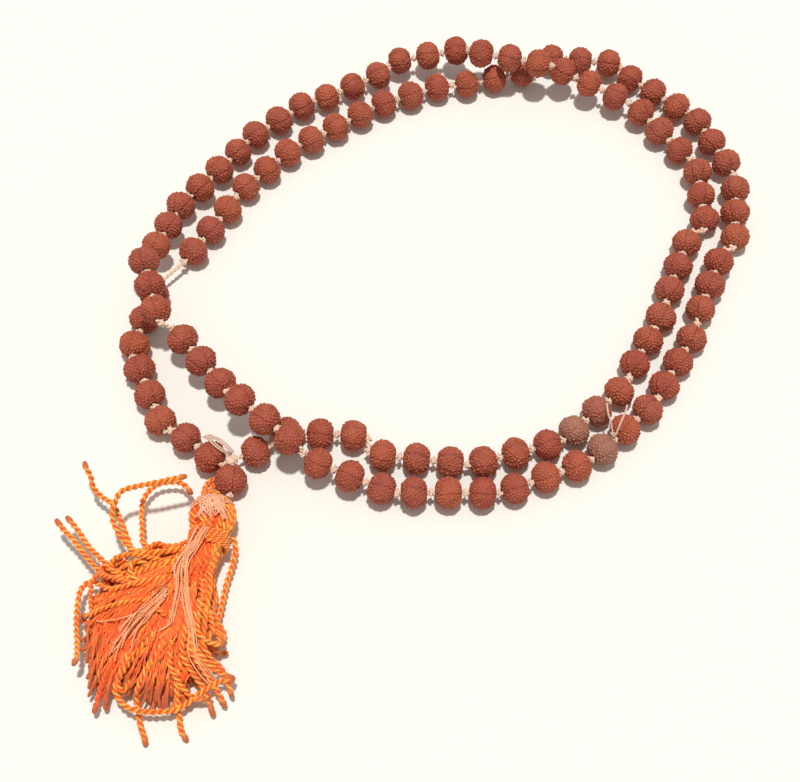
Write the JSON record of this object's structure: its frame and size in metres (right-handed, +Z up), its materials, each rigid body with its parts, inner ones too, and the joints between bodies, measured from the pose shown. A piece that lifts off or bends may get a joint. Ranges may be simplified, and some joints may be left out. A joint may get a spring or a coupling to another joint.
{
  "type": "mala prayer beads",
  "caption": "Mala of furrowed seed beads knotted on a thread, with a guru bead and a cord tassel, lying wound twice round on a surface.",
  "frame": {"origin": "middle of the bounding box on the surface that the string lies on, at that surface's height", "axes": "+Z up from the surface, +Y from the tassel across the loop, +X to the right when the tassel points towards the viewer"},
  "size_m": [0.1757, 0.2068, 0.0166],
  "materials": {
    "seed_bead": "furrowed dry seed shell with a slight sheen",
    "guru_seed": "furrowed dry seed shell with a slight sheen",
    "bead_thread": "twisted cotton thread",
    "fine_thread": "fine pale cotton thread",
    "tassel_cord": "soft two-ply cotton cord",
    "loose_cord": "soft two-ply cotton cord"
  },
  "bodies": {
    "strand": {"strand_thread": "bead_thread", "knots": "bead_thread", "join_thread": "bead_thread", "thread_loops": "fine_thread", "thread_tails": "fine_thread", "neck_cord": "tassel_cord"},
    "beads_01": {"bead_run_01": "seed_bead"},
    "beads_02": {"bead_run_02": "seed_bead"},
    "beads_03": {"bead_run_03": "seed_bead"},
    "beads_04": {"bead_run_04": "seed_bead"},
    "beads_05": {"bead_run_05": "seed_bead"},
    "beads_06": {"bead_run_06": "seed_bead"},
    "beads_07": {"bead_run_07": "seed_bead"},
    "beads_08": {"bead_run_08": "seed_bead"},
    "beads_09": {"bead_run_09": "seed_bead"},
    "beads_10": {"bead_run_10": "seed_bead"},
    "beads_11": {"bead_run_11": "seed_bead"},
    "beads_12": {"bead_run_12": "seed_bead"},
    "beads_13": {"bead_run_13": "seed_bead"},
    "beads_14": {"bead_run_14": "seed_bead"},
    "beads_15": {"bead_run_15": "seed_bead"},
    "beads_16": {"bead_run_16": "seed_bead"},
    "beads_17": {"bead_run_17": "seed_bead"},
    "beads_18": {"bead_run_18": "seed_bead"},
    "beads_19": {"bead_run_19": "seed_bead"},
    "beads_20": {"bead_run_20": "seed_bead"},
    "beads_21": {"bead_run_21": "seed_bead"},
    "beads_22": {"bead_run_22": "seed_bead"},
    "beads_23": {"bead_run_23": "seed_bead"},
    "beads_24": {"bead_run_24": "seed_bead"},
    "beads_25": {"bead_run_25": "seed_bead"},
    "beads_26": {"bead_run_26": "seed_bead"},
    "beads_27": {"bead_run_27": "seed_bead"},
    "beads_28": {"bead_run_28": "seed_bead"},
    "beads_29": {"bead_run_29": "seed_bead"},
    "beads_30": {"bead_run_30": "seed_bead"},
    "beads_31": {"bead_run_31": "seed_bead"},
    "beads_32": {"bead_run_32": "seed_bead"},
    "beads_33": {"bead_run_33": "seed_bead"},
    "beads_34": {"bead_run_34": "seed_bead"},
    "beads_35": {"bead_run_35": "seed_bead"},
    "beads_36": {"bead_run_36": "seed_bead"},
    "beads_37": {"bead_run_37": "seed_bead"},
    "guru": {"guru_bead": "guru_seed"},
    "tie": {"tassel_tie": "tassel_cord"},
    "tassel": {"tassel_head": "tassel_cord", "bindings": "fine_thread", "tassel_skirt": "tassel_cord", "pale_thread": "fine_thread", "loose_cord_01": "loose_cord", "loose_cord_02": "loose_cord", "loose_cord_03": "loose_cord", "loose_cord_04": "loose_cord", "loose_cord_05": "loose_cord", "loose_cord_06": "loose_cord", "loose_cord_07": "loose_cord", "loose_cord_08": "loose_cord", "loose_cord_09": "loose_cord", "loose_cord_10": "loose_cord"}
  },
  "joints": [
    {"name": "spin_guru", "type": "hinge", "parent": "strand", "child": "guru", "pos_m": [-0.052, -0.0445, 0.0045], "axis": [0, -1, 0], "continuous": true},
    {"name": "tassel_swing", "type": "hinge", "parent": "strand", "child": "tie", "pos_m": [-0.055, -0.0495, 0.0062], "axis": [0, 0, 1], "range_deg": [-15, 25]},
    {"name": "tassel_lift", "type": "hinge", "parent": "tie", "child": "tassel", "pos_m": [-0.055, -0.0495, 0.0062], "axis": [-1, 0, 0], "range_deg": [0, 60]},
    {"name": "spin_01", "type": "hinge", "parent": "strand", "child": "beads_01", "pos_m": [-0.0605, -0.0355, 0.0047], "axis": [-0.758, 0.6522, 0.0071], "continuous": true},
    {"name": "spin_02", "type": "hinge", "parent": "strand", "child": "beads_02", "pos_m": [-0.0735, -0.0205, 0.0047], "axis": [-0.3983, 0.9172, -0.0121], "continuous": true},
    {"name": "spin_03", "type": "hinge", "parent": "strand", "child": "beads_03", "pos_m": [-0.077, 0.0025, 0.0042], "axis": [0.2159, 0.9764, -0.0094], "continuous": true},
    {"name": "spin_04", "type": "hinge", "parent": "strand", "child": "beads_04", "pos_m": [-0.062, 0.0315, 0.0042], "axis": [0.5017, 0.865, 0], "continuous": true},
    {"name": "spin_05", "type": "hinge", "parent": "strand", "child": "beads_05", "pos_m": [-0.048, 0.0525, 0.0042], "axis": [0.665, 0.7468, 0], "continuous": true},
    {"name": "spin_06", "type": "hinge", "parent": "strand", "child": "beads_06", "pos_m": [-0.0295, 0.068, 0.0042], "axis": [0.8207, 0.5714, 0], "continuous": true},
    {"name": "spin_07", "type": "hinge", "parent": "strand", "child": "beads_07", "pos_m": [-0.0085, 0.08, 0.0042], "axis": [0.9249, 0.3802, 0], "continuous": true},
    {"name": "spin_08", "type": "hinge", "parent": "strand", "child": "beads_08", "pos_m": [0.0155, 0.0865, 0.0042], "axis": [0.9665, 0.2564, 0.0099], "continuous": true},
    {"name": "spin_09", "type": "hinge", "parent": "strand", "child": "beads_09", "pos_m": [0.0405, 0.093, 0.0047], "axis": [0.9926, -0.1213, 0], "continuous": true},
    {"name": "spin_10", "type": "hinge", "parent": "strand", "child": "beads_10", "pos_m": [0.0605, 0.081, 0.0042], "axis": [0.7438, -0.6684, 0], "continuous": true},
    {"name": "spin_11", "type": "hinge", "parent": "strand", "child": "beads_11", "pos_m": [0.075, 0.062, 0.0047], "axis": [0.3786, -0.9255, 0.0105], "continuous": true},
    {"name": "spin_12", "type": "hinge", "parent": "strand", "child": "beads_12", "pos_m": [0.0785, 0.037, 0.0047], "axis": [-0.1215, -0.9926, 0], "continuous": true},
    {"name": "spin_13", "type": "hinge", "parent": "strand", "child": "beads_13", "pos_m": [0.069, 0.013, 0.0047], "axis": [-0.388, -0.9216, -0.0097], "continuous": true},
    {"name": "spin_14", "type": "hinge", "parent": "strand", "child": "beads_14", "pos_m": [0.0585, -0.0105, 0.0042], "axis": [-0.5057, -0.8627, 0], "continuous": true},
    {"name": "spin_15", "type": "hinge", "parent": "strand", "child": "beads_15", "pos_m": [0.0435, -0.0305, 0.0047], "axis": [-0.7276, -0.686, 0], "continuous": true},
    {"name": "spin_16", "type": "hinge", "parent": "strand", "child": "beads_16", "pos_m": [0.0235, -0.0435, 0.0042], "axis": [-0.9277, -0.3732, 0], "continuous": true},
    {"name": "spin_17", "type": "hinge", "parent": "strand", "child": "beads_17", "pos_m": [0, -0.048, 0.0047], "axis": [-0.9994, -0.0106, 0.0319], "continuous": true},
    {"name": "spin_18", "type": "hinge", "parent": "strand", "child": "beads_18", "pos_m": [-0.0235, -0.044, 0.0057], "axis": [-0.9275, 0.3478, 0.137], "continuous": true},
    {"name": "spin_19", "type": "hinge", "parent": "strand", "child": "beads_19", "pos_m": [-0.044, -0.0315, 0.0112], "axis": [-0.7651, 0.6427, 0.0408], "continuous": true},
    {"name": "spin_20", "type": "hinge", "parent": "strand", "child": "beads_20", "pos_m": [-0.061, -0.0125, 0.0077], "axis": [-0.6221, 0.7827, 0.0201], "continuous": true},
    {"name": "spin_21", "type": "hinge", "parent": "strand", "child": "beads_21", "pos_m": [-0.075, 0.0075, 0.0122], "axis": [-0.263, 0.9642, -0.0329], "continuous": true},
    {"name": "spin_22", "type": "hinge", "parent": "strand", "child": "beads_22", "pos_m": [-0.073, 0.0315, 0.0062], "axis": [0.2963, 0.9418, -0.1587], "continuous": true},
    {"name": "spin_23", "type": "hinge", "parent": "strand", "child": "beads_23", "pos_m": [-0.061, 0.052, 0.0047], "axis": [0.5758, 0.8165, -0.0419], "continuous": true},
    {"name": "spin_24", "type": "hinge", "parent": "strand", "child": "beads_24", "pos_m": [-0.0455, 0.0705, 0.0042], "axis": [0.7578, 0.6525, 0], "continuous": true},
    {"name": "spin_25", "type": "hinge", "parent": "strand", "child": "beads_25", "pos_m": [-0.025, 0.083, 0.0047], "axis": [0.8803, 0.4716, 0.0524], "continuous": true},
    {"name": "spin_26", "type": "hinge", "parent": "strand", "child": "beads_26", "pos_m": [-0.0035, 0.093, 0.0067], "axis": [0.984, 0.0884, 0.1548], "continuous": true},
    {"name": "spin_27", "type": "hinge", "parent": "strand", "child": "beads_27", "pos_m": [0.0195, 0.087, 0.0117], "axis": [0.9695, -0.245, 0.0107], "continuous": true},
    {"name": "spin_28", "type": "hinge", "parent": "strand", "child": "beads_28", "pos_m": [0.042, 0.0815, 0.0072], "axis": [0.8823, -0.4465, -0.1488], "continuous": true},
    {"name": "spin_29", "type": "hinge", "parent": "strand", "child": "beads_29", "pos_m": [0.061, 0.066, 0.0047], "axis": [0.5874, -0.8076, -0.0524], "continuous": true},
    {"name": "spin_30", "type": "hinge", "parent": "strand", "child": "beads_30", "pos_m": [0.07, 0.043, 0.0047], "axis": [0.0108, -0.9999, -0.0108], "continuous": true},
    {"name": "spin_31", "type": "hinge", "parent": "strand", "child": "beads_31", "pos_m": [0.0615, 0.0195, 0.0042], "axis": [-0.3662, -0.9305, -0.0099], "continuous": true},
    {"name": "spin_32", "type": "hinge", "parent": "strand", "child": "beads_32", "pos_m": [0.0515, -0.004, 0.0042], "axis": [-0.4823, -0.876, 0], "continuous": true},
    {"name": "spin_33", "type": "hinge", "parent": "strand", "child": "beads_33", "pos_m": [0.037, -0.025, 0.0042], "axis": [-0.7276, -0.686, 0], "continuous": true},
    {"name": "spin_34", "type": "hinge", "parent": "strand", "child": "beads_34", "pos_m": [0.0165, -0.037, 0.0042], "axis": [-0.9569, -0.2903, 0], "continuous": true},
    {"name": "spin_35", "type": "hinge", "parent": "strand", "child": "beads_35", "pos_m": [-0.0075, -0.0385, 0.0042], "axis": [-0.9934, 0.115, 0], "continuous": true},
    {"name": "spin_36", "type": "hinge", "parent": "strand", "child": "beads_36", "pos_m": [-0.031, -0.0315, 0.0042], "axis": [-0.9987, 0.0512, 0], "continuous": true},
    {"name": "spin_37", "type": "hinge", "parent": "strand", "child": "beads_37", "pos_m": [-0.0465, -0.0365, 0.0042], "axis": [-0.9417, -0.3363, 0.0135], "continuous": true}
  ]
}
